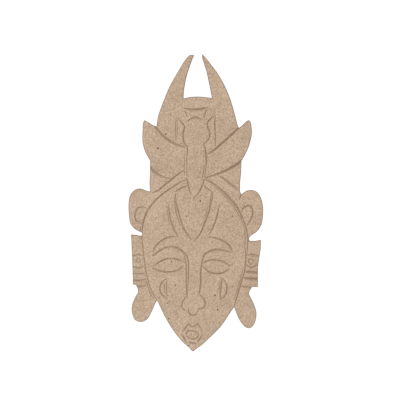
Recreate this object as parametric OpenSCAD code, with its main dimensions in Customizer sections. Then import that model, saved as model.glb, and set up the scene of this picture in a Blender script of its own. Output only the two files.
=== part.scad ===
// Wall mask: a flat fibreboard mask with routed lines, hung from a wire ring on its back.
// Drawn in millimetres. X is to the right and Z is up as the mask is seen from the front, and the face
// looks along -Y. The origin is the middle of the wall nail, at the surface of the wall.

/* [Board] */
// Thickness of the fibreboard
board_thickness = 6; // [5:0.5:9]
// Depth of a routed line for each millimetre of its width
groove_depth = 0.5; // [0.4:0.05:0.6]
// Width of every routed line against the drawn width
groove_width = 1; // [0.8:0.05:1.2]
// Width that the tip of the cutter adds to every drawn line
groove_tip = 0.5; // [0.3:0.1:0.6]
// How far the drawing sits to the right and down from its marked-out place
drawing_shift = 0.2; // [0:0.1:0.4]

/* [Hanger] */
// Width of the folded steel strap
strap_width = 8; // [7:0.5:8]
// Thickness of the strip that the strap is folded from
strap_strip = 0.8; // [0.6:0.1:0.8]
// Diameter of the wire in the ring
ring_wire = 1.5; // [1.2:0.1:1.5]
// Radius of the round top of the ring, to the middle of its wire
ring_radius = 6.25; // [6.25:0.25:6.75]
// Thread diameter of the strap screws
screw_diameter = 2.5; // [2:0.1:2.8]
// Length of the strap screws under the head
screw_length = 6; // [5:0.5:6]

/* [Wall pads] */
// Diameter of the felt pads
pad_diameter = 12; // [8:1:16]
// Thickness of the felt pads, which is the gap between the board and the wall
pad_thickness = 3.5; // [3.5:0.25:5]

/* [View] */
// Piece to build

/* [Hidden] */
$fn = 48;
// Corner radius of the ring where its straight bar turns up
ring_corner = 2;
// Running clearance round the bar of the ring
bar_clearance = 0.05;
// Gap between the two leaves of the folded strap
leaf_gap = 0.1;
knuckle_bore = ring_wire / 2 + bar_clearance;
knuckle_radius = knuckle_bore + strap_strip;
strap_height = 2 * strap_strip + leaf_gap;
// The board is drawn from the tip of its chin, and the ring hangs over its point of balance.
bar_height = 243;
nail_diameter = 2.5;
nail_height = bar_height + ring_corner + ring_radius - ring_wire / 2 - nail_diameter / 2;
hanger_x = -0.5;
upper_screw_height = bar_height - 4.6;
lower_screw_height = bar_height - 13;
strap_end = bar_height - 17;
pad_height = 48;
pad_spread = 20;

fibreboard = [0.75, 0.65, 0.55];
steel = [0.72, 0.72, 0.70];
zinc = [0.62, 0.62, 0.60];
felt = [0.36, 0.30, 0.25];

// ---------------------------------------------------------------- curves

// A point a share s of the way from b to c, on a smooth curve that passes a before them and d after.
function blend(a, b, c, d, s) =
    b + (c - a) * s / 2
    + (2 * a - 5 * b + 4 * c - d) * s * s / 2
    + (3 * b - a - 3 * c + d) * s * s * s / 2;

// A smooth curve through the points, up to but not including the last one.
function curve(p, step) = [
    for (i = [0:len(p) - 2])
        let (n = max(1, ceil(norm(p[i + 1] - p[i]) / step)))
            for (k = [0:n - 1])
                blend(p[max(i - 1, 0)], p[i], p[i + 1], p[min(i + 2, len(p) - 1)], k / n)
];

// The same curve with its last point.
function whole_curve(p, step) = concat(curve(p, step), [p[len(p) - 1]]);

// Unit vector square to the line at its station i, to the left of the way it runs.
function square_to(line, i) =
    let (
        d = line[min(i + 1, len(line) - 1)] - line[max(i - 1, 0)],
        size = norm([d[0], d[1]])
    )
    [-d[1] / size, d[0] / size];

// Moves pieces from the drawing of the board to the wall: chin tip below the nail, back off the wall.
module hung() {
    translate([-hanger_x, -pad_thickness, -nail_height])
        rotate([90, 0, 0])
            children();
}

// ---------------------------------------------------------------- routed lines

// A V-shaped cut along a line of stations [x, y, width], with the cutter standing above the face.
module cut_along(line) {
    n = len(line);
    above = 0.4;
    corners = [
        for (i = [0:n - 1])
            let (
                side = square_to(line, i),
                width = groove_tip + line[i][2] * groove_width,
                depth = width * groove_depth,
                rim = width / 2 * (1 + above / depth)
            )
            each [
                [line[i][0] + side[0] * rim, line[i][1] + side[1] * rim, board_thickness + above],
                [line[i][0] - side[0] * rim, line[i][1] - side[1] * rim, board_thickness + above],
                [line[i][0], line[i][1], board_thickness - depth]
            ]
    ];
    sides = [
        for (i = [0:3:3 * n - 6])
            each [
                [i, i + 3, i + 4], [i, i + 4, i + 1],
                [i + 3, i, i + 2], [i + 3, i + 2, i + 5],
                [i + 1, i + 4, i + 5], [i + 1, i + 5, i + 2]
            ]
    ];
    ends = [[0, 1, 2], [3 * n - 2, 3 * n - 3, 3 * n - 1]];
    polyhedron(points = corners, faces = concat(ends, sides));
}

// One routed line through points [x, y, width], in straight steps of about the given length.
module groove(points, step = 3) {
    cut_along(whole_curve(points, step));
}

// Two routed lines side by side through points [x, y, width, spread between the two].
module twin_groove(points) {
    line = whole_curve(points, 3);
    for (turn = [-0.5, 0.5])
        cut_along([
            for (i = [0:len(line) - 1])
                let (side = square_to(line, i) * turn * line[i][3])
                    [line[i][0] + side[0], line[i][1] + side[1], line[i][2]]
        ]);
}

// A routed circle.
module round_groove(x, y, radius, width) {
    w = groove_tip + width * groove_width;
    d = w * groove_depth;
    translate([x, y, board_thickness])
        rotate_extrude()
            polygon([
                [radius, -d],
                [radius + w, d],
                [radius - w, d]
            ]);
}

// ---------------------------------------------------------------- the board

board_edge = concat(
    // right horn, outside, from its tip down to the wing
    curve([[6, 297.5], [10, 293.5], [15.5, 286.5], [20.5, 280], [26, 271], [30.5, 262],
        [34.5, 252], [38, 240.5], [42, 224.5]], 4),
    // right wing, over its tip and down its edge
    curve([[43, 223.5], [46.5, 226.5], [50, 230], [52.5, 231.5]], 4),
    curve([[52.5, 231.5], [54.5, 230], [55.5, 225], [56, 219], [55, 212.5], [53, 205.5],
        [49.5, 197.5], [45.5, 190.5]], 4),
    // right side of the crown
    curve([[45.5, 190.5], [45, 178], [44, 168], [44, 160], [45.5, 157]], 8),
    // right ear
    curve([[45.5, 157], [50, 160.5], [56, 161.5], [61, 159.5], [65, 153.5], [67, 145], [67, 136],
        [65.5, 127], [61, 120], [55, 116], [53, 113.5]], 3),
    // right ear plug
    [[53, 113.5], [53, 112], [54, 110.5], [59, 110.5]],
    curve([[65, 111.5], [64.5, 101], [63, 92], [62, 84], [62, 65]], 10),
    [[62, 64.5]],
    // right pendant
    curve([[56, 64.5], [54, 61], [53, 57.5], [56, 51.5], [59.5, 43], [60.5, 36.5], [59, 29],
        [55.5, 24], [51, 23.5], [46.5, 27], [42, 34.5], [38, 44.5]], 3),
    // chin
    curve([[38, 44.5], [31.5, 34.5], [24.5, 24.5], [14.5, 14.5], [6.5, 7], [-0.5, 2]], 8),
    [[-0.5, 2], [-3, 0], [-5, 1.5]],
    curve([[-6.5, 3.5], [-12.5, 8.5], [-19, 16], [-25.5, 25], [-32, 36.5], [-37, 47], [-39, 51]], 8),
    // left pendant
    curve([[-39, 51], [-41.5, 46.5], [-44.5, 39.5], [-49, 32], [-55, 29.5], [-61, 31.5],
        [-64, 38.5], [-64, 46], [-61, 54], [-58, 59.5], [-58.5, 64.5]], 3),
    // left ear plug
    [[-60, 66.5]],
    curve([[-63, 67], [-63.5, 82], [-64, 95], [-64.5, 107], [-65, 117]], 10),
    [[-65, 117], [-60, 116.5], [-55.5, 115.5], [-54, 116.5], [-54, 118]],
    // left ear
    curve([[-55, 119.5], [-60, 121.5], [-65.5, 127.5], [-67, 136], [-67.5, 147], [-66, 156],
        [-61.5, 161.5], [-56, 163], [-50, 161], [-46.5, 160]], 3),
    // left side of the crown
    [[-46, 160], [-46.5, 168], [-46, 178]],
    // left wing, up its edge and over its tip
    curve([[-46, 191], [-51, 200], [-53.5, 209.5], [-53.5, 220], [-53, 229], [-51.5, 231.5]], 4),
    curve([[-51.5, 231.5], [-46.5, 228.5], [-41, 225]], 4),
    // left horn, outside, from the wing up to its tip
    curve([[-39.5, 225], [-38, 235], [-33.5, 248], [-26.5, 265], [-18, 280], [-12, 290],
        [-7.5, 295.5], [-4, 297.5]], 4),
    // left horn, inside, down to the crown
    curve([[-2, 296.5], [-5, 289], [-9.5, 275], [-12, 262], [-12.5, 253]], 4),
    // crown between the horns
    curve([[-12.5, 253], [-6, 254.5], [2, 255], [9, 254.5], [16, 253.5]], 5),
    // right horn, inside, up to its tip
    curve([[16, 253.5], [13.5, 266.5], [10.5, 280], [8, 288], [5.5, 296]], 4)
);

module crown_grooves() {
    groove([[-11.5, 243.5, 1.4], [-5, 242, 2.6], [2, 242, 3], [8, 243, 2.8], [12.5, 244.5, 1.2]]);
    groove([[-11, 240.5, 1.2], [-9.5, 238, 2], [-9, 235, 1]]);
    groove([[11.5, 242, 1.2], [9.5, 239, 1.7], [8.5, 234.5, 0.9]]);
    // bands that sweep down to the ears
    groove([[-12, 181.5, 0.8], [-20, 175.5, 2.2], [-30, 167.5, 2.2], [-38, 161, 2], [-44.5, 159, 0.8]]);
    groove([[24, 175.5, 1.3], [30, 171.5, 2.3], [37, 166, 2.5], [42.5, 161.5, 1.2]]);
    groove([[45, 157, 1.4], [44.5, 155, 1.8], [43, 152.5, 1]]);
}

module bird_grooves() {
    // top of the head
    groove([[-8, 231, 1], [-4.5, 233, 2.2], [0, 234, 2.2], [3.5, 233, 2.2], [6, 232, 0.8]]);
    // left fin and the left of the head and neck
    twin_groove([[-19.5, 233.5, 0.7, 0.5], [-19.5, 228, 0.9, 1.6], [-19.5, 219, 0.9, 1.6],
        [-20, 211, 0.7, 0.8]]);
    groove([[-18, 233.5, 1], [-14, 229, 2], [-11, 225, 2], [-12.5, 219.5, 2], [-12.5, 213, 2],
        [-11, 208, 2], [-8.5, 204.5, 1.8], [-8.5, 199, 1.5], [-9, 195, 1], [-9, 176, 0.8]]);
    groove([[-11, 198, 0.5], [-11.5, 191, 0.8], [-11.5, 182, 0.8], [-11.5, 175.5, 0.6]]);
    // right fin and the right of the head and neck
    groove([[19.5, 235.5, 1], [19, 229, 1.7], [19.5, 215, 1.7], [19.5, 205.5, 1]]);
    groove([[19, 236, 1], [15.5, 233.5, 1.9], [12, 229.5, 1.9], [11.5, 225.5, 1.8], [14, 219.5, 1.8],
        [13, 213, 1.8], [8, 207.5, 1.2]]);
    groove([[7.5, 207, 1], [9.5, 202.5, 2], [10.5, 195, 2.4], [10.5, 188, 1.6], [9.5, 180, 1.4],
        [9, 174, 1.4]]);
    groove([[9, 187, 0.8], [8, 183, 1.3], [7, 177, 1.2], [6, 171, 0.8]]);
    // tail
    groove([[-10, 174, 1], [-8.5, 171, 1.6], [-7, 163.5, 2], [-4.5, 156.5, 0.8]]);
    groove([[8.5, 173, 1.2], [6.5, 166.5, 1.7], [3.5, 160, 1.7], [-3, 152.5, 0.8]]);
}

module wing_grooves() {
    groove([[-41, 225.5, 1.8], [-36.5, 220, 2.4], [-29.5, 213, 3], [-20, 207.5, 2.8],
        [-10.5, 204, 1.3]]);
    groove([[-46.5, 188, 1.2], [-44.5, 183.5, 2.6], [-39.5, 178.5, 2.8], [-33.5, 175, 2.2],
        [-26, 173, 1]]);
    groove([[43.5, 224.5, 2.2], [36.5, 217.5, 2.8], [27, 209, 3], [19, 202, 2.5], [11.5, 197.5, 1.4]]);
    groove([[46, 191.5, 3.2], [42.5, 188, 4], [35, 183.5, 3.5], [24.5, 178.5, 2.6], [10, 174, 1.4]]);
}

module face_line_grooves() {
    // left edge of the face, broken at the gap between the ear and the plug
    groove([[-10, 172, 1], [-18.5, 167.5, 1.7], [-27, 162, 1.9], [-34, 157, 2.1], [-41, 150.5, 2.1],
        [-47, 143, 2.3], [-51, 134.5, 2.3], [-53, 126.5, 1.9], [-54, 119, 1.2]], 2.5);
    groove([[-55.5, 125.5, 0.6], [-55.5, 120.5, 1.2]]);
    groove([[-54, 115, 1], [-53, 104, 1.2], [-51.5, 91, 1.2], [-49.5, 78, 1.4], [-46, 65, 1.2],
        [-42.5, 57.5, 1.2], [-39.5, 52.5, 0.9]]);
    groove([[-50.5, 74, 0.4], [-48, 66, 0.9], [-45.5, 59, 0.9], [-42.5, 53, 0.7]]);
    // right edge of the face, with a lighter line inside it
    groove([[9, 172.5, 1], [16, 169, 2.2], [26, 161.5, 2.3], [34.5, 153, 2.4], [41.5, 144, 2.4],
        [46.5, 134.5, 2.2],
        [50, 124.5, 1.8], [52, 113.5, 1.4], [51.5, 104, 1.3], [51, 97.5, 0.9]]);
    groove([[15.5, 166.5, 0.5], [23.5, 161, 1], [32, 152.5, 1], [38.5, 144, 1], [43.5, 136, 1],
        [47.5, 126.5, 0.9], [49.5, 116, 0.8], [49, 106, 0.8], [50, 94, 1.5], [49, 82, 1.8],
            [46, 71, 1.8],
        [42.5, 59.5, 2], [38.5, 45.5, 1]]);
    groove([[47.5, 85, 0.5], [44.5, 72.5, 1.1], [41, 61, 1.2], [38, 51.5, 0.7]]);
}

module forehead_grooves() {
    groove([[-8.5, 165.5, 1.6], [-12.5, 164.5, 2.4], [-16.5, 162.5, 2], [-20.5, 160, 1]]);
    groove([[-20.5, 158, 0.8], [-20, 150.5, 1.7], [-18, 142.5, 1.9], [-15.5, 132.5, 1.7],
        [-11.5, 122, 2], [-4.5, 112, 0.8]]);
    groove([[-22, 155.5, 0.6], [-21, 147.5, 1.1], [-19.5, 138.5, 1.1], [-17, 130, 1.1],
        [-15, 125.5, 0.6]]);
    groove([[7.5, 166.5, 0.8], [11, 163.5, 1.8], [15.5, 160.5, 1.6], [16.5, 155.5, 1.8],
        [15, 147.5, 1.6],
        [12.5, 138, 1.8], [8.5, 128, 1.9], [5, 119, 1.8], [-0.5, 111.5, 0.8]]);
    groove([[15, 156.5, 0.5], [14.5, 151.5, 1.1], [13, 145.5, 0.6]]);
    groove([[11.5, 144.5, 0.6], [10.5, 138, 1], [9, 132.5, 0.5]]);
    groove([[-27.5, 146.5, 0.8], [-26.5, 139, 1.8], [-25, 131, 1.6], [-21, 120.5, 1.7],
        [-17, 115, 0.8]]);
    groove([[-29, 144.5, 0.5], [-28, 136.5, 1.1], [-26.5, 128.5, 0.6]]);
    groove([[23.5, 147, 0.7], [22, 139.5, 1.5], [19.5, 130, 1.8], [16, 122, 1.8], [12.5, 116.5, 0.7]]);
}

module ear_grooves() {
    groove([[-48.5, 143, 0.8], [-53, 144.5, 1.5], [-58, 143.5, 1.6], [-60.5, 138, 1.6],
        [-60, 131.5, 1.6],
        [-53.5, 127, 0.8]], 2);
    groove([[45.5, 140.5, 1], [48, 144, 2.1], [53.5, 146, 2.1], [57, 141.5, 2], [56, 134.5, 2],
        [51, 126, 1]], 2);
}

module brow_grooves() {
    groove([[-43, 99.5, 0.8], [-40.5, 104.5, 1.9], [-35, 110.5, 2], [-28, 114, 2], [-20, 115, 0.8]]);
    groove([[-43.5, 95.5, 1.4], [-38, 99.5, 2], [-30, 104, 2.1], [-21.5, 104.5, 2], [-14, 101, 2],
        [-9.5, 96, 1.8], [-7.5, 89.5, 1.6], [-7.5, 76, 1.4], [-8, 63.5, 1.2]]);
    groove([[11.5, 114.5, 1], [20, 113.5, 1.9], [28.5, 110, 1.9], [34, 105.5, 1.9],
        [36.5, 100.5, 0.9]]);
    groove([[36, 99, 0.8], [28.5, 101, 2], [20.5, 102, 2.3], [13.5, 100, 2.3], [8.5, 96.5, 2.2],
        [6, 88, 1.6],
        [5, 81, 1.8], [5, 70, 2], [4, 61.5, 1.9], [2.5, 56, 0.9]]);
}

module eye_grooves() {
    groove([[-42, 86, 0.9], [-36, 90, 2], [-28, 93, 2], [-18.5, 92, 2], [-9.5, 88.5, 0.8]]);
    groove([[-43.5, 83.5, 1.2], [-37.5, 81, 2], [-28.5, 79.5, 2], [-19, 81, 2], [-12, 86, 0.9]]);
    groove([[7, 88, 1], [12, 91, 2], [20.5, 91.5, 2.1], [28.5, 89.5, 1.9], [34.5, 86, 1.5],
        [37, 87, 0.7]]);
    groove([[6.5, 86, 0.9], [12, 80.5, 1.9], [20, 78, 2], [27.5, 79, 1.9], [33.5, 83, 0.9]]);
}

module nose_grooves() {
    groove([[-12.5, 99, 0.6], [-10.5, 91.5, 1.2], [-9.5, 84, 1.2], [-9.5, 70, 1.2],
        [-9, 60.5, 1.8], [-8.5, 56, 1]], 2);
    // nostrils
    groove([[-8.5, 56, 1], [-10.5, 54, 1.4], [-13, 50, 1.5], [-14, 46, 1.6], [-13, 43, 1.5],
        [-10.5, 41, 0.9]], 1.5);
    groove([[4, 56.5, 0.9], [7.5, 53.5, 1.7], [9.5, 49, 1.8], [9, 46, 1.8], [7, 43.5, 1.8],
        [3.5, 42.5, 1.6],
        [1.5, 43, 1]], 1.5);
    // tip of the nose
    groove([[-7.5, 44, 0.7], [-7.5, 41, 1.2], [-6.5, 38, 1.6], [-4, 36.5, 1.8], [-1, 36.5, 1.7],
        [1, 38.5, 1.2],
        [1.5, 41, 0.6]], 1.5);
}

module cheek_grooves() {
    groove([[-28.5, 73, 0.9], [-33.5, 70, 1.9], [-36, 63.5, 1.9], [-34, 57, 1.9], [-28, 52.5, 0.9]]);
    groove([[-29, 71.5, 0.7], [-29.5, 62, 1.7], [-28.5, 54.5, 0.8]]);
    groove([[-31.5, 69.5, 0.5], [-31.5, 64, 1.2], [-31.5, 57.5, 0.5]]);
    groove([[25.5, 74, 0.7], [25.5, 66.5, 1.7], [24.5, 58.5, 1.6], [24.5, 51.5, 0.8]]);
    groove([[23.5, 71.5, 0.4], [23.5, 66, 0.9], [23.5, 60, 0.4]]);
    groove([[27, 73, 0.7], [31, 66.5, 1.8], [30, 57.5, 1.8], [25, 52, 0.8]]);
}

module mouth_grooves() {
    groove([[-14, 19.5, 1.1], [-11, 23, 1.6], [-7.5, 27, 1.6], [-4.5, 24.5, 1.4]], 1.5);
    groove([[-4, 24.5, 1.2], [-1.5, 25.5, 1.4], [1.5, 27.5, 1.7], [4, 25, 1.6], [6, 20, 0.9]], 1.5);
    // the open mouth
    groove([[-9.5, 17, 1.4], [-8, 20.5, 1.6], [-3, 20.5, 1.7], [2, 18.5, 1.6], [2, 14.5, 1.6],
        [-2.5, 12.5, 1.7], [-7, 14, 1.6], [-9.5, 16, 1.2]], 1.5);
    groove([[-4, 18.5, 0.5], [-5, 16.5, 1.1], [-3.5, 14.5, 0.6]], 1.5);
    // lower lip
    groove([[-14.5, 17.5, 1], [-11.5, 13.5, 2], [-9.5, 9, 0.9]], 1.5);
    groove([[6.5, 17, 1.2], [4, 13, 1.9], [1.5, 9.5, 0.9]], 1.5);
    groove([[-7, 9, 1.4], [-3, 8.5, 2.5], [1, 8, 1.4]], 1.5);
}

module plug_grooves() {
    groove([[-63, 95.5, 1.2], [-59, 97, 1.8], [-53, 96, 1.1]]);
    round_groove(-57.5, 91, 2, 0.9);
    groove([[-63, 85, 1.2], [-58, 83.5, 1.9], [-52.5, 85, 1]]);
    groove([[-63, 78, 1.2], [-57, 78, 1.4], [-51, 78, 1]]);
    groove([[-62.5, 71.5, 1.6], [-57, 71, 2.2], [-50.5, 72, 1]]);
    groove([[-60, 66, 1.7], [-56.5, 65, 2.3], [-47.5, 66, 1.1]]);
    groove([[50.5, 96.5, 1.3], [56, 97, 1.9], [63.5, 95.5, 1.2]]);
    round_groove(55, 90.5, 2.4, 1.2);
    groove([[50.5, 87, 0.9], [55.5, 84, 2.2], [61.5, 87, 1.1]]);
    groove([[50, 80, 1.6], [54, 79.5, 2.8], [61, 79, 2.6]]);
    groove([[48, 74, 1.6], [53, 73, 3.1], [61, 72.5, 3]]);
    groove([[44.5, 65.5, 1.3], [50.5, 64.5, 1.9], [56, 64.5, 1.5]]);
}

module screw_hole(height) {
    deep = screw_length - strap_height + 0.2;
    translate([hanger_x, height, -0.01])
        cylinder(r = screw_diameter / 2 + 0.02, h = deep);
}

module mask_board() {
    color(fibreboard)
        hung()
            difference() {
                linear_extrude(board_thickness)
                    polygon(board_edge);
                translate([drawing_shift, -drawing_shift, 0]) {
                    crown_grooves();
                    bird_grooves();
                    wing_grooves();
                    face_line_grooves();
                    forehead_grooves();
                    ear_grooves();
                    brow_grooves();
                    eye_grooves();
                    nose_grooves();
                    cheek_grooves();
                    mouth_grooves();
                    plug_grooves();
                }
                screw_hole(upper_screw_height);
                screw_hole(lower_screw_height);
            }
}

// ---------------------------------------------------------------- the hanger

// Flat shape of the strap, from just under the bar of the ring to its rounded end.
module strap_outline() {
    translate([-strap_width / 2, strap_end + strap_width / 2])
        square([strap_width, bar_height - strap_end - strap_width / 2 - knuckle_bore - strap_strip / 2]);
    translate([0, strap_end + strap_width / 2])
        circle(r = strap_width / 2);
}

module hanger_strap() {
    color(steel)
        hung()
            translate([hanger_x, 0, 0])
                difference() {
                    union() {
                        translate([0, 0, -strap_height])
                            linear_extrude(strap_height)
                                strap_outline();
                        translate([-strap_width / 2, bar_height, -knuckle_radius])
                            rotate([0, 90, 0])
                                cylinder(r = knuckle_radius, h = strap_width);
                        // the strip runs straight on from the leaf that lies on the board
                        translate([-strap_width / 2, bar_height - knuckle_radius, -strap_strip])
                            cube([strap_width, knuckle_radius, strap_strip]);
                    }
                    translate([-strap_width / 2 - 1, bar_height, -knuckle_radius])
                        rotate([0, 90, 0])
                            cylinder(r = knuckle_bore, h = strap_width + 2);
                    // the seam between the two leaves
                    translate([-strap_width, strap_end - 1, -strap_strip - leaf_gap])
                        cube([2 * strap_width, bar_height - knuckle_radius - 0.4 - strap_end + 1, leaf_gap]);
                    for (height = [upper_screw_height, lower_screw_height])
                        translate([0, height, -strap_height - 1])
                            cylinder(r = screw_diameter / 2 + 0.2, h = strap_height + 2);
                }
}

module hanger_ring() {
    color(zinc)
        hung()
            translate([hanger_x, bar_height, -knuckle_radius]) {
                bar = ring_radius - ring_corner;
                translate([-bar, 0, 0])
                    rotate([0, 90, 0])
                        cylinder(r = ring_wire / 2, h = 2 * bar);
                translate([bar, ring_corner, 0])
                    rotate([0, 0, -90])
                        rotate_extrude(angle = 90)
                            translate([ring_corner, 0])
                                circle(r = ring_wire / 2);
                translate([-bar, ring_corner, 0])
                    rotate([0, 0, 180])
                        rotate_extrude(angle = 90)
                            translate([ring_corner, 0])
                                circle(r = ring_wire / 2);
                translate([0, ring_corner, 0])
                    rotate_extrude(angle = 180)
                        translate([ring_radius, 0])
                            circle(r = ring_wire / 2);
            }
}

// Pan-head screw with a cross slot, its thread rings and its point all turned about one axis.
module strap_screw(height) {
    r = screw_diameter / 2;
    head = 1.5;
    core = 0.72 * r;
    pitch = 0.8;
    turns = 4;
    point = screw_length - 1.5;
    color(zinc)
        hung()
            translate([hanger_x, height, -strap_height])
                difference() {
                    rotate_extrude()
                        polygon(concat(
                            [[0, -head], [1.3, -head], [1.9, -0.85 * head], [2.3, -0.35 * head],
                                [2.3, 0], [r, 0], [r, 1]],
                            [for (i = [0:turns - 1]) each [[core, 1.15 + i * pitch],
                                [r, 1.15 + (i + 0.5) * pitch]]],
                            [[core, point], [0, screw_length]]
                        ));
                    for (turn = [0, 90])
                        rotate([0, 0, turn])
                            translate([-1.3, -0.25, -head - 1])
                                cube([2.6, 0.5, 1.7]);
                }
}

module upper_screw() {
    strap_screw(upper_screw_height);
}

module lower_screw() {
    strap_screw(lower_screw_height);
}

// ---------------------------------------------------------------- the wall pads

module wall_pad(side) {
    color(felt)
        hung()
            translate([hanger_x + side * pad_spread, pad_height, -pad_thickness])
                cylinder(r = pad_diameter / 2, h = pad_thickness);
}

module left_pad() {
    wall_pad(-1);
}

module right_pad() {
    wall_pad(1);
}

// ---------------------------------------------------------------- the pieces

mask_board();
hanger_strap();
hanger_ring();
upper_screw();
lower_screw();
left_pad();
right_pad();
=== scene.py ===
import math

import bmesh
import bpy
import numpy as np
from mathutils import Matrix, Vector, geometry, noise
from mathutils.bvhtree import BVHTree


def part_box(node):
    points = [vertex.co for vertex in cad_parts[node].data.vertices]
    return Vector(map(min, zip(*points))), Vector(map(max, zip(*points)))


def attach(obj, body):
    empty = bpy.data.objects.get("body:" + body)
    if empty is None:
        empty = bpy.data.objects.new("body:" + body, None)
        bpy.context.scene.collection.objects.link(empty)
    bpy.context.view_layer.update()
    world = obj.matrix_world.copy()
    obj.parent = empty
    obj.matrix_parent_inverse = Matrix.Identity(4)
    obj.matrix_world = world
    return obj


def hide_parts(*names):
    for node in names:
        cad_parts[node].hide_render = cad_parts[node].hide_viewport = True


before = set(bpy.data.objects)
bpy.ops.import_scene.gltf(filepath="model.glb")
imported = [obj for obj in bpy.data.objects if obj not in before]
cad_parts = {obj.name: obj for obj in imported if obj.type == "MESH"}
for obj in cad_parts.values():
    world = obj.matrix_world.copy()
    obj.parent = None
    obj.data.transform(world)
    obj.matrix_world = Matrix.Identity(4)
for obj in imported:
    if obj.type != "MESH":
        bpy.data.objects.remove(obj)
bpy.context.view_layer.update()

# ---------------------------------------------------------------- the board
# The mask itself: one sheet of 6 mm fibreboard, sawn round its outline and routed on its front face with a
# V cutter. Raw and unpainted: fine pressed wood fibre, with darker flecks, and cuts a little darker than
# the pressed skin. The colour also carries painted shade: it darkens with depth down into the cuts, and on
# the face near the sawn rim.

MM = 0.001


class Tone:
    """A number or a colour that changes over a surface. Numbers take + - and * as in arithmetic."""

    def __init__(self, finish, socket):
        self.finish = finish
        self.socket = socket

    def sum_of(self, operation, first, second):
        return self.finish.add("ShaderNodeMath", {"operation": operation}, {0: first, 1: second})

    def __add__(self, other):
        return self.sum_of("ADD", self, other)

    def __radd__(self, other):
        return self.sum_of("ADD", other, self)

    def __sub__(self, other):
        return self.sum_of("SUBTRACT", self, other)

    def __rsub__(self, other):
        return self.sum_of("SUBTRACT", other, self)

    def __mul__(self, other):
        return self.sum_of("MULTIPLY", self, other)

    def __rmul__(self, other):
        return self.sum_of("MULTIPLY", other, self)

    def above(self, low, high):
        """0 up to low, 1 from high, and a soft step between."""
        return self.finish.add(
            "ShaderNodeMapRange",
            {"interpolation_type": "SMOOTHSTEP"},
            {"Value": self, "From Min": low, "From Max": high},
        )


class Finish:
    """One material. add() puts in any node: its type, its settings, then what goes into its sockets."""

    def __init__(self, name):
        self.material = bpy.data.materials.new(name)
        self.material.use_nodes = True
        self.tree = self.material.node_tree
        self.tree.nodes.clear()
        # where the surface is, in millimetres
        spot = self.add("ShaderNodeTexCoord", {}, {}, "Object")
        self.place = self.stretch(spot, (1 / MM, 1 / MM, 1 / MM))

    def add(self, kind, settings, sockets, out=0):
        node = self.tree.nodes.new(kind)
        for name, value in settings.items():
            if name == "stops":
                ramp = node.color_ramp.elements
                while len(ramp) < len(value):
                    ramp.new(0.5)
                for element, (position, colour) in zip(ramp, value):
                    element.position = position
                    element.color = colour
            else:
                setattr(node, name, value)
        for name, value in sockets.items():
            if isinstance(value, Tone):
                self.tree.links.new(value.socket, node.inputs[name])
            else:
                node.inputs[name].default_value = value
        return Tone(self, node.outputs[out]) if len(node.outputs) else None

    def stretch(self, spot, factors):
        return self.add("ShaderNodeVectorMath", {"operation": "MULTIPLY"}, {0: spot, 1: factors})

    def turned(self, angle, factors):
        """The place in millimetres, turned in the plane of the board, then stretched."""
        sockets = {"Vector": self.place, "Axis": (0, 1, 0), "Angle": math.radians(angle)}
        return self.stretch(self.add("ShaderNodeVectorRotate", {}, sockets), factors)

    def noise(self, spot, scale, detail=2, roughness=0.5):
        sockets = {"Vector": spot, "Scale": scale, "Detail": detail, "Roughness": roughness}
        return self.add("ShaderNodeTexNoise", {}, sockets)

    def blend(self, share, first, second):
        """The colour first where share is 0, and second where it is 1."""
        # a Mix node has its colours at sockets 6 and 7, and its mixed colour at output 2
        return self.add("ShaderNodeMix", {"data_type": "RGBA"}, {0: share, 6: first, 7: second}, 2)

    def surface(self, sockets, relief=None, strength=0.3, height=0.1):
        """The shader, with a relief in millimetres over its surface."""
        if relief is not None:
            bump = {"Height": relief, "Strength": strength, "Distance": height * MM}
            sockets = dict(sockets, Normal=self.add("ShaderNodeBump", {}, bump))
        shader = self.add("ShaderNodeBsdfPrincipled", {}, sockets)
        self.add("ShaderNodeOutputMaterial", {}, {"Surface": shader})
        return self.material


# The fibre from its darkest to its palest, and what darkens it: a chip, a bit of bark, the open grain of
# the routing together with painted shade down in the cuts, and the sawn edge together with painted shade on
# the rounded rim.
fibre_browns = ((0.27, 0.182, 0.118, 1), (0.475, 0.345, 0.243, 1), (0.64, 0.5, 0.38, 1))
chip_brown = (0.12, 0.07, 0.04, 1)
bark_brown = (0.09, 0.056, 0.036, 1)
routed_and_shade_brown = (0.2, 0.13, 0.08, 1)
sawn_and_rim_shade_brown = (0.2, 0.125, 0.074, 1)

# Bits of bark pressed into the face: the x and z of each one, and its radius, in millimetres.
bark_flecks = [
    (-29.5, -32, 1),
    (-37.5, -46, 1.1),
    (-15.5, -41, 0.6),
    (-13.5, -41, 0.6),
    (8, -48.5, 0.6),
    (-30.5, -79, 0.7),
    (5, -93, 0.5),
    (5, -98.5, 0.9),
    (-9, -114, 0.8),
    (37, -114, 0.8),
    (-24, -159.5, 0.8),
    (-20, -183, 0.8),
    (19.5, -193, 1),
    (22, -204, 0.6),
    (22, -207.5, 0.9),
    (-28, -201, 0.7),
    (-27, -216.5, 0.7),
    (-7, -243, 0.7),
]


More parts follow.
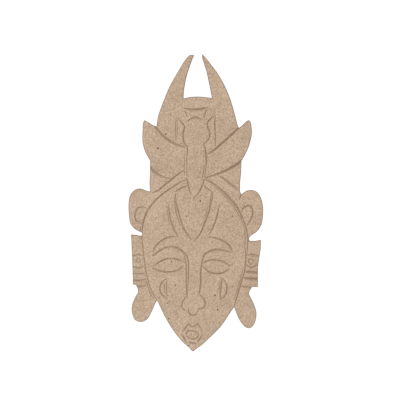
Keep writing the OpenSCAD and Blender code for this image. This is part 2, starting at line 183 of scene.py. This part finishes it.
def raw_fibreboard():
    """Pressed wood fibre: even at arm's length, and flecked and hairy close to. The mesh says where it is
    routed and where its edge is sawn; both darken the colour, partly as the darker cut fibre and partly as
    painted shade."""
    board = Finish("raw_fibreboard")
    cloud = board.noise(board.place, 0.035, 3)
    mottle = board.noise(board.place, 0.26, 2, 0.5)
    grain = board.noise(board.place, 1.1, 2, 0.7)
    fine = board.noise(board.place, 2.6, 2, 0.6)
    pale_fibre = 0
    dark_fibre = 0
    for turn in (12, 74, 131):
        strand = board.noise(board.turned(turn, (0.4, 1, 2.4)), 1, 1)
        pale_fibre = pale_fibre + strand.above(0.6, 0.72)
        strand = board.noise(board.turned(turn + 33, (0.5, 1, 2.6)), 1, 1)
        dark_fibre = dark_fibre + strand.above(0.6, 0.72)
    specks = board.noise(board.place, 0.95, 1).above(0.66, 0.76)
    cells = {"Vector": board.place, "Scale": 0.2, "Randomness": 1}
    chips = board.add("ShaderNodeTexVoronoi", {}, cells, "Distance")
    chips = chips + (grain - 0.5) * 0.3 + (mottle - 0.5) * 0.3
    chip = 1 - chips.above(0.03, 0.09)
    light = 0.5 + (cloud - 0.5) * 0.3 + (mottle - 0.5) * 0.08 + (grain - 0.5) * 2.05 + (fine - 0.5) * 1.0
    light = light + pale_fibre * 0.11 - dark_fibre * 0.15 - specks * 0.34
    stops = list(zip((0, 0.5, 1), fibre_browns))
    colour = board.add("ShaderNodeValToRGB", {"stops": stops}, {0: light})
    colour = board.blend(chip * 0.65, colour, chip_brown)
    bark = 0
    for x, z, radius in bark_flecks:
        spots = {0: board.place, 1: (x, face, z)}
        away = board.add("ShaderNodeVectorMath", {"operation": "DISTANCE"}, spots, "Value")
        bark = bark + (1 - (away + (grain - 0.5) * 0.9).above(0.7 * radius, radius))
    colour = board.blend(bark * 0.95, colour, bark_brown)
    routed = board.add("ShaderNodeAttribute", {"attribute_name": "routed"}, {}, "Fac").above(0.02, 0.65)
    sawn = board.add("ShaderNodeAttribute", {"attribute_name": "sawn"}, {}, "Fac")
    # Painted shade: the colour darkens with the depth of the routing, on top of the darker colour of the cut
    # fibre.
    colour = board.blend(routed * 0.27, colour, routed_and_shade_brown)
    # Painted shade: the face darkens towards the sawn rim, on top of the darker colour of the sawn fibre.
    sawn_and_rim_shade = sawn.above(0.05, 0.75) * (0.8 + (mottle - 0.5) * 0.5)
    colour = board.blend(sawn_and_rim_shade, colour, sawn_and_rim_shade_brown)
    relief = grain * 0.5 + fine * 0.3 + pale_fibre * 0.25 - dark_fibre * 0.25 - specks * 0.3 - chip * 0.8
    rough = 0.8 + (mottle - 0.5) * 0.2 + routed * 0.1
    sockets = {"Base Color": colour, "Roughness": rough, "Specular IOR Level": 0.3}
    return board.surface(sockets, relief, 0.5, 0.15)


def welded(node):
    """The corners of a piece in millimetres and its triangles, with corners that share a place joined."""
    plain = node.data
    plain.calc_loop_triangles()
    corners = np.zeros(len(plain.vertices) * 3)
    plain.vertices.foreach_get("co", corners)
    corners = corners.reshape(-1, 3) / MM
    sides = np.zeros(len(plain.loop_triangles) * 3, int)
    plain.loop_triangles.foreach_get("vertices", sides)
    # places are compared to the nearest 0.0002 mm
    _, first, same = np.unique(np.round(corners * 5000), axis=0, return_index=True, return_inverse=True)
    sides = same.reshape(-1)[sides].reshape(-1, 3)
    return corners[first], sides[(sides != np.roll(sides, 1, axis=1)).all(axis=1)]


def in_order(pairs):
    """The corners of the closed loops that the pairs of neighbouring corners make."""
    beside = {}
    for one, other in pairs:
        beside.setdefault(one, []).append(other)
        beside.setdefault(other, []).append(one)
    loops = []
    while beside:
        walk = [next(iter(beside))]
        while walk[-1] in beside:
            onward = [corner for corner in beside.pop(walk[-1]) if corner in beside]
            walk.extend(onward[:1])
            if not onward:
                break
        loops.append(walk)
    return loops


class Layout:
    """Points marked out on the flat of the board, in millimetres, none closer together than is asked."""

    cell = 0.3

    def __init__(self):
        self.points = []
        self.lines = []
        self.cells = {}

    def mark(self, x, z, apart=0.01):
        """The number of the point at x, z: a new one, or one already as near as that."""
        column = round(x / self.cell)
        row = round(z / self.cell)
        reach = math.ceil(apart / self.cell)
        for near in range(column - reach, column + reach + 1):
            for level in range(row - reach, row + reach + 1):
                for known in self.cells.get((near, level), ()):
                    if math.dist(self.points[known], (x, z)) < apart:
                        return known
        self.cells.setdefault((column, row), []).append(len(self.points))
        self.points.append((x, z))
        return len(self.points) - 1

    def line(self, start, end, step):
        """Marks a straight line in steps, and gives its points with the direction square to it."""
        count = max(1, math.ceil(math.dist(start, end) / step))
        spots = [start + (end - start) * share / count for share in range(count + 1)]
        marks = [self.mark(*spot) for spot in spots]
        self.lines.extend(pair for pair in zip(marks, marks[1:]) if pair[0] != pair[1])
        along = (end - start) / max(math.dist(start, end), 1e-9)
        return [(spot, np.array((-along[1], along[0]))) for spot in spots], marks

    def triangles(self, rim):
        """Joins up the points inside the rim, which is the numbers of its points in order, anticlockwise."""
        spots = [Vector(point) for point in self.points]
        made = geometry.delaunay_2d_cdt(spots, self.lines, [rim], 0, 1e-5, True)
        inside = [tuple(triangle) for triangle, region in zip(made[2], made[5]) if region]
        return [tuple(place) for place in made[0]], inside


corners, sides = welded(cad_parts["mask_board"])
face = corners[:, 1].min()
back = corners[:, 1].max()
square = np.cross(corners[sides[:, 1]] - corners[sides[:, 0]], corners[sides[:, 2]] - corners[sides[:, 0]])
square = square / np.maximum(np.linalg.norm(square, axis=1), 1e-12)[:, None]
flush = 0.001
is_skin = np.abs(corners[sides][:, :, 1] - face).max(axis=1) < flush
is_back = np.abs(corners[sides][:, :, 1] - back).max(axis=1) < flush
# a side of the routing faces forwards, if only a little
is_cut = ~is_skin & (square[:, 1] < -0.02)
meeting = {}
for number, (a, b, c) in enumerate(sides):
    for pair in ((a, b), (b, c), (c, a)):
        meeting.setdefault((min(pair), max(pair)), []).append(number)
solid = BVHTree.FromPolygons([Vector(c) for c in corners], [tuple(int(i) for i in s) for s in sides])


def is_wood(x, z):
    """Whether any of the board lies in front of or behind a point of its flat."""
    return solid.ray_cast(Vector((x, back + 1, z)), Vector((0, -1, 0)))[0] is not None


def depth_at(x, z):
    """How deep the routing is under a point of the face, or None off the edge of the board."""
    met = solid.ray_cast(Vector((x, face - 1, z)), Vector((0, 1, 0)))[0]
    return None if met is None or met.y > back - 1 else met.y - face


# Sharp lines of the board: the rims and floors of the routing, where it runs out at the sawn edge, and the
# outline of the back.
floor_turn = 0.9
rims = []
floors = []
run_out_edges = []
back_edges = []
for pair, (one, other) in meeting.items():
    front = (is_skin[one] or is_cut[one]) + 2 * (is_skin[other] or is_cut[other])
    if front == 3:
        if is_skin[one] != is_skin[other]:
            rims.append(pair)
        elif is_cut[one] and square[one] @ square[other] < floor_turn:
            floors.append(pair)
    elif front and not (is_back[one] or is_back[other]):
        run_out_edges.append(pair)
    elif is_back[one] != is_back[other]:
        back_edges.append(pair)

flat = corners[:, [0, 2]]
*hole_loops, edge_loop = sorted(in_order(back_edges), key=len)
if sum(flat[a][0] * flat[b][1] - flat[b][0] * flat[a][1] for a, b in zip(edge_loop, edge_loop[1:])) < 0:
    edge_loop.reverse()
run_outs = flat[sorted({int(corner) for pair in run_out_edges for corner in pair})]

# The front's points: along its outline and its cuts in steps, in rows beside them, and in a grid between.
outline_step = 0.5
cut_step = 0.7
rows_from_edge = (0.1, 0.24, 0.48, 1)
rows_beside_floor = (0.28, -0.28)
rows_beside_rim = (0.22, -0.22, 0.55, -0.55)
layout = Layout()
edge_rows = []
edge_marks = []
for one, other in zip(edge_loop, edge_loop[1:] + edge_loop[:1]):
    along = (flat[other] - flat[one]) / math.dist(flat[other], flat[one]) ** 2
    shares = (run_outs - flat[one]) @ along
    astray = np.abs((run_outs - flat[one]) @ np.array((-along[1], along[0])) / np.linalg.norm(along))
    stops = [0, *np.sort(shares[(astray < 0.003) & (shares > 0.001) & (shares < 0.999)]), 1]
    for start, end in zip(stops, stops[1:]):
        ends = [flat[one] + (flat[other] - flat[one]) * share for share in (start, end)]
        spots, marks = layout.line(*ends, outline_step)
        edge_rows.extend(spots[:-1])
        edge_marks.extend(mark for mark in marks[:-1] if mark not in edge_marks[-1:])

# The sawn edge as an upright band, to measure how far a point is from it.
wall_corners = [Vector((x, y, z)) for y in (-1, 1) for x, z in (layout.points[mark] for mark in edge_marks)]
wall_sides = []
for here in range(len(edge_marks)):
    ahead = (here + 1) % len(edge_marks)
    wall_sides.append((here, ahead, ahead + len(edge_marks), here + len(edge_marks)))
walls = BVHTree.FromPolygons(wall_corners, wall_sides)


def from_edge(x, z):
    """How far a point of the face is from the sawn edge of the board."""
    return walls.find_nearest(Vector((x, 0, z)))[3]


def fill(side, row_step, column_step):
    """Marks an even grid over one side of the board, with every other row moved half a step along."""
    for row, z in enumerate(np.arange(corners[:, 2].min(), corners[:, 2].max(), row_step)):
        start = corners[:, 0].min() + row % 2 * column_step / 2
        for x in np.arange(start, corners[:, 0].max(), column_step):
            if is_wood(x, z) and from_edge(x, z) > 1.2:
                side.mark(x, z, 1)


rims.extend(pair for pair in run_out_edges if from_edge(*flat[list(pair)].mean(axis=0)) > 0.01)
cut_rows = []
for pairs, offsets in ((floors, rows_beside_floor), (rims, rows_beside_rim)):
    for start, end in pairs:
        spots, _ = layout.line(flat[start], flat[end], cut_step)
        cut_rows.extend((spot, across, offsets) for spot, across in spots)
for away in rows_from_edge:
    for spot, across in edge_rows:
        for x, z in (spot + across * away, spot - across * away):
            if from_edge(x, z) > 0.9 * away and is_wood(x, z):
                layout.mark(x, z, 0.09 + away / 4)
for spot, across, offsets in cut_rows:
    for away in offsets:
        x, z = spot + across * away
        if from_edge(x, z) > 0.3 and is_wood(x, z):
            layout.mark(x, z, 0.2)
fill(layout, 2, 2.3)
places, skin = layout.triangles(edge_marks)

# How far the routing's corners are blunted, how uneven its floor is, the radius that the sawn edge
# is rubbed to, and how far in from that edge the face is darkened with the sawn brown and painted shade.
blunting = 0.2
chatter = 0.05
edge_wear = 0.6
sawn_reach = 1.1


def worn_face(x, z):
    """Where the front lies at a point, with its routing blunted and its sawn edge rubbed round, how deep the
    routing is there, and how near the sawn edge is, from 0 to 1."""
    turns = np.arange(0, 6.2, math.pi / 4)
    ring = [(0, 0)] + [(blunting * math.cos(turn), blunting * math.sin(turn)) for turn in turns]
    met = [depth_at(x + right, z + up) for right, up in ring]
    met = [depth for depth in met if depth is not None]
    depth = sum(met) / len(met)
    depth += chatter * min(depth / 0.3, 1) * noise.noise(Vector((x, 9, z)) * 1.3)
    inset = from_edge(x, z)
    inward = edge_wear - min(inset, edge_wear)
    dip = edge_wear - math.sqrt(edge_wear**2 - inward**2)
    return face + max(depth, 0) + dip, max(depth, 0), max(0, 1 - inset / sawn_reach)


worn = [worn_face(x, z) for x, z in places]
points = [(x, lie, z) for (x, z), (lie, _, _) in zip(places, worn)]

# The plain back, with the two blind holes for the hanger's screws.
rear = Layout()
rear_rim = [rear.mark(*places[corner]) for corner in edge_marks]
for loop in hole_loops:
    for start, end in zip(loop, loop[1:] + loop[:1]):
        rear.line(flat[start], flat[end], 5)
fill(rear, 4, 4.6)
rear_places, rear_skin = rear.triangles(rear_rim)
hole_middles = [flat[loop].mean(axis=0) for loop in hole_loops]
hole_reach = math.dist(hole_middles[0], flat[hole_loops[0][0]])


def over_hole(triangle):
    centre = np.mean([rear_places[corner] for corner in triangle], axis=0)
    return min(math.dist(centre, spot) for spot in hole_middles) <= hole_reach


def rounded(place):
    """A place to the nearest thousandth of a millimetre, to match points of the front and the back."""
    return tuple(round(value, 3) for value in place)


rear_skin = [triangle for triangle in rear_skin if not over_hole(triangle)]
base = len(points)
points.extend((x, back, z) for x, z in rear_places)
shapes = list(skin)
shapes.extend(tuple(base + corner for corner in reversed(triangle)) for triangle in rear_skin)
behind = {rounded(place): base + number for number, place in enumerate(rear_places)}
for one, other in zip(edge_marks, edge_marks[1:] + edge_marks[:1]):
    below = [behind[rounded(places[corner])] for corner in (other, one)]
    shapes.append((one, other, *below))
for loop in hole_loops:
    mouth = [behind[rounded(flat[corner])] for corner in loop]
    centre = flat[loop].mean(axis=0)
    end = solid.ray_cast(Vector((centre[0], back + 1, centre[1])), Vector((0, -1, 0)))[0].y
    bottom = [len(points) + number for number in range(len(loop))]
    points.extend((points[corner][0], end, points[corner][2]) for corner in mouth)
    turns = zip(mouth, mouth[1:] + mouth[:1], bottom[1:] + bottom[:1], bottom)
    shapes.extend(turns)
    shapes.append(tuple(bottom))

mesh = bpy.data.meshes.new("mask")
mesh.from_pydata([Vector(point) * MM for point in points], [], shapes)
shaper = bmesh.new()
shaper.from_mesh(mesh)
bmesh.ops.recalc_face_normals(shaper, faces=shaper.faces)
shaper.to_mesh(mesh)
shaper.free()
mesh.shade_smooth()
mesh.set_sharp_from_angle(angle=math.radians(50))
# The back rim takes this share of the sawn brown, which is partly the darker sawn fibre and partly painted
# shade.
back_rim_sawn_and_shade = 0.55
# The routed value darkens the colour with the depth of the cut, partly as painted shade.
for name, column in (("routed", 1), ("sawn", 2)):
    layer = mesh.attributes.new(name, "FLOAT", "POINT")
    values = [row[column] for row in worn] + [0.0] * (len(points) - len(worn))
    if name == "sawn":
        for mark in edge_marks:
            values[behind[rounded(places[mark])]] = back_rim_sawn_and_shade
    layer.data.foreach_set("value", values)
mask = bpy.data.objects.new("mask", mesh)
bpy.context.scene.collection.objects.link(mask)

mask.data.materials.append(raw_fibreboard())
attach(mask, "mask")
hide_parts("mask_board")

# ---------------------------------------------------------------- the hanger: strap and ring
# A strip of zinc-plated steel folded round the bar of a wire ring, so that the ring swings in the fold. The
# strip shows fine lines along its length from the rolling, and the plating is a little cloudy.


def zinc_plate(name, lines_along, brightness):
    """Zinc plating over steel. lines_along squeezes the rolling lines along X, Y or Z."""
    zinc = Finish(name)
    cloud = zinc.noise(zinc.place, 0.5, 3, 0.6)
    lines = zinc.noise(zinc.stretch(zinc.place, lines_along), 1, 2, 0.6)
    specks = zinc.noise(zinc.place, 3.5, 2, 0.7).above(0.62, 0.75)
    shade = cloud * 0.5 + lines * 0.35 + 0.1 - specks * 0.15
    stops = []
    for position, grey, blue in ((0.2, 0.34, 0.33), (0.5, 0.5, 0.485), (0.8, 0.66, 0.65)):
        stops.append((position, (grey * brightness, grey * brightness, blue * brightness, 1)))
    colour = zinc.add("ShaderNodeValToRGB", {"stops": stops}, {0: shade})
    rough = 0.3 + cloud * 0.16 + lines * 0.1 + specks * 0.15
    return zinc.surface({"Base Color": colour, "Roughness": rough, "Metallic": 1}, lines + cloud, 0.25, 0.03)


def dress(node, material):
    """Gives a piece its material in place of the plain one."""
    node.data.materials.clear()
    node.data.materials.append(material)
    node.data.shade_smooth()
    node.data.set_sharp_from_angle(angle=math.radians(35))


dress(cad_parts["hanger_strap"], zinc_plate("rolled_strip", (6, 6, 0.3), 1))
dress(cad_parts["hanger_ring"], zinc_plate("drawn_wire", (2, 2, 2), 1.05))

# ---------------------------------------------------------------- the strap screws
# Two small pan-head steel screws with a cross slot, plated like the strap. They go through both leaves of
# the strap, each into its own blind hole in the board.

for name in ("upper_screw", "lower_screw"):
    dress(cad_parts[name], zinc_plate(name + "_plating", (5, 0.6, 5), 0.95))

# ---------------------------------------------------------------- the felt pads
# Two discs of dense brown felt, stamped out and stuck to the back of the board with a thin pale glue film.
# Their stamped edge is a little fuzzy, and their rim has gone soft.

felt_browns = ((0.06, 0.04, 0.027, 1), (0.12, 0.082, 0.056, 1), (0.22, 0.16, 0.115, 1))
glue_cream = (0.55, 0.5, 0.4, 1)


def pressed_felt(glue):
    """Brown felt. glue is where the glue film lies against the board, in millimetres."""
    felt = Finish("pressed_felt")
    hair = 0
    for turn in (5, 65, 125):
        hair = hair + felt.noise(felt.turned(turn, (1.2, 3, 9)), 1, 2).above(0.45, 0.75)
    cloud = felt.noise(felt.place, 0.8, 3)
    shade = 0.25 + hair * 0.2 + (cloud - 0.5) * 0.5
    stops = list(zip((0, 0.5, 1), felt_browns))
    colour = felt.add("ShaderNodeValToRGB", {"stops": stops}, {0: shade})
    film = 1 - (felt.add("ShaderNodeSeparateXYZ", {}, {0: felt.place}, "Y") - glue).above(0.22, 0.3)
    colour = felt.blend(film, colour, glue_cream)
    sockets = {
        "Base Color": colour,
        "Roughness": 0.95,
        "Specular IOR Level": 0.15,
        "Sheen Weight": 0.35,
        "Sheen Roughness": 0.5,
    }
    return felt.surface(sockets, hair + cloud, 0.6, 0.25)


# The side of a disc from the middle of its glued face to the middle of the one on the wall, as shares of
# the radius and of the thickness.
felt_side = [
    *((0, 0), (0.35, 0), (0.7, 0), (0.94, 0), (0.985, 0.02), (1, 0.07), (0.992, 0.2), (0.985, 0.4)),
    *((0.985, 0.6), (0.99, 0.8), (0.985, 0.9), (0.96, 0.97), (0.9, 1), (0.6, 1), (0.3, 1), (0, 1)),
]
fuzz_height = 0.06


def felt_disc(name, node, material):
    """A disc with a worn rim, in the room that the plain disc takes."""
    low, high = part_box(node)
    middle = (low + high) / 2
    radius = (high.x - low.x) / 2 - 0.05 * MM
    thick = high.y - low.y
    shaper = bmesh.new()
    steps = 96  # points round the rim
    rings = []
    for out, up in felt_side:
        count = steps if out else 1
        ring = []
        for number in range(count):
            turn = math.tau * number / steps
            spot = Vector((math.cos(turn) * out, 0, math.sin(turn) * out)) * radius
            fuzz = noise.noise(spot / MM * 1.9 + Vector((0, up * 3, 0))) * fuzz_height * MM
            spot = spot * (1 - abs(fuzz) / radius)
            lie = low.y + up * thick
            if 0 < up < 1 or out > 0.9:
                lie -= abs(fuzz) * (1 if up > 0.5 else -1)
            ring.append(shaper.verts.new((middle.x + spot.x, lie, middle.z + spot.z)))
        rings.append(ring)
    for inner, outer in zip(rings, rings[1:]):
        for number in range(steps):
            ahead = (number + 1) % steps
            patch = [inner[number % len(inner)], inner[ahead % len(inner)]]
            patch.extend((outer[ahead % len(outer)], outer[number % len(outer)]))
            shaper.faces.new(list(dict.fromkeys(patch)))
    bmesh.ops.recalc_face_normals(shaper, faces=shaper.faces)
    mesh = bpy.data.meshes.new(name)
    shaper.to_mesh(mesh)
    shaper.free()
    mesh.shade_smooth()
    mesh.materials.append(material)
    disc = bpy.data.objects.new(name, mesh)
    bpy.context.scene.collection.objects.link(disc)
    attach(disc, "mask")
    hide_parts(node)


felt = pressed_felt(back)
felt_disc("left_felt", "left_pad", felt)
felt_disc("right_felt", "right_pad", felt)

# ---------------------------------------------------------------- the stage
# A plain white floor below the mask, white surroundings, a soft light in front, high on the left, and a
# second one behind, for the back. The camera looks straight at the board's face, from 2 m away.

bpy.ops.mesh.primitive_circle_add(vertices=96, radius=1.35, fill_type="NGON", location=(0, 0, -0.45))
floor = bpy.context.object
floor.name = "floor"
white = Finish("white_floor")
paint = {"Base Color": (0.86, 0.86, 0.86, 1), "Roughness": 0.9, "Emission Strength": 0.22}
paint["Emission Color"] = (1, 1, 1, 1)
floor.data.materials.append(white.surface(paint))

world = bpy.data.worlds.new("white_room")
world.use_nodes = True
bpy.context.scene.world = world
nodes = world.node_tree.nodes
links = world.node_tree.links
room = nodes["Background"]
room.inputs["Color"].default_value = (1, 1, 1, 1)
room.inputs["Strength"].default_value = 0.5
beyond = nodes.new("ShaderNodeBackground")
beyond.inputs["Color"].default_value = (1, 1, 1, 1)
beyond.inputs["Strength"].default_value = 1.05
either = nodes.new("ShaderNodeMixShader")
links.new(nodes.new("ShaderNodeLightPath").outputs["Is Camera Ray"], either.inputs[0])
links.new(room.outputs[0], either.inputs[1])
links.new(beyond.outputs[0], either.inputs[2])
links.new(either.outputs[0], nodes["World Output"].inputs[0])

middle = Vector((4.5, face, -97.75)) * MM


def soft_light(name, spot, size, power):
    """A round lamp that is turned to the middle of the board."""
    lamp = bpy.data.lights.new(name, "AREA")
    lamp.shape = "DISK"
    lamp.size = size
    lamp.energy = power
    holder = bpy.data.objects.new(name, lamp)
    bpy.context.scene.collection.objects.link(holder)
    holder.location = spot
    holder.rotation_euler = (middle - Vector(spot)).to_track_quat("-Z", "Y").to_euler()


soft_light("key_light", (-1.3, -1.3, 1.2), 0.8, 34)
soft_light("back_light", (1.0, 1.6, 0.9), 1.0, 26)

viewing_distance = 2.0
camera = bpy.data.cameras.new("camera")
camera.sensor_width = 36
camera.lens = 180
eye = bpy.data.objects.new("camera", camera)
bpy.context.scene.collection.objects.link(eye)
eye.location = middle - Vector((0, viewing_distance, 0))
eye.rotation_euler = (math.radians(90), 0, 0)
bpy.context.scene.camera = eye
bpy.context.scene.view_settings.view_transform = "Standard"
